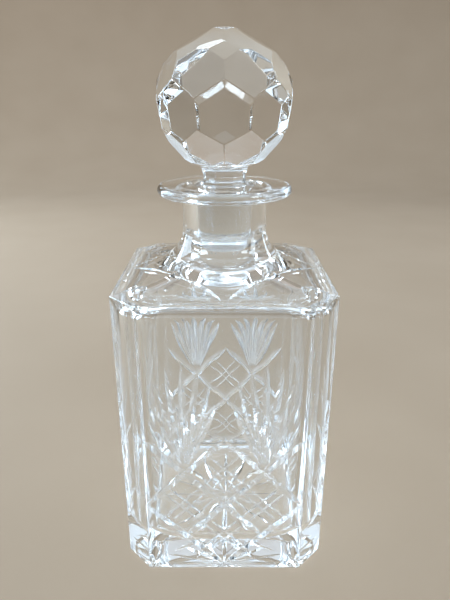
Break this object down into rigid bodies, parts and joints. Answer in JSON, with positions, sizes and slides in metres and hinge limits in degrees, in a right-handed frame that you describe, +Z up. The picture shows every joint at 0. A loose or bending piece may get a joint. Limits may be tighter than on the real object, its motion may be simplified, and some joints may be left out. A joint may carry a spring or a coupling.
{
  "type": "square decanter with ball stopper",
  "caption": "Square cut crystal spirit decanter with chamfered corners, a wide-lipped neck and a faceted ball stopper that lifts out.",
  "frame": {"origin": "centre of the underside that the bottle stands on", "axes": "+Z up through the neck and stopper, -Y out of the front wall, +X to the right seen from the front"},
  "size_m": [0.1, 0.1, 0.2526],
  "materials": {
    "bottle_crystal": "polished",
    "stopper_crystal": "polished"
  },
  "bodies": {
    "bottle": {"decanter_bottle": "bottle_crystal"},
    "stopper": {"ball_stopper": "stopper_crystal"}
  },
  "joints": [
    {"name": "stopper_lift", "type": "slide", "parent": "bottle", "child": "stopper", "axis": [0, 0, 1], "range_m": [0, 0.04]}
  ]
}
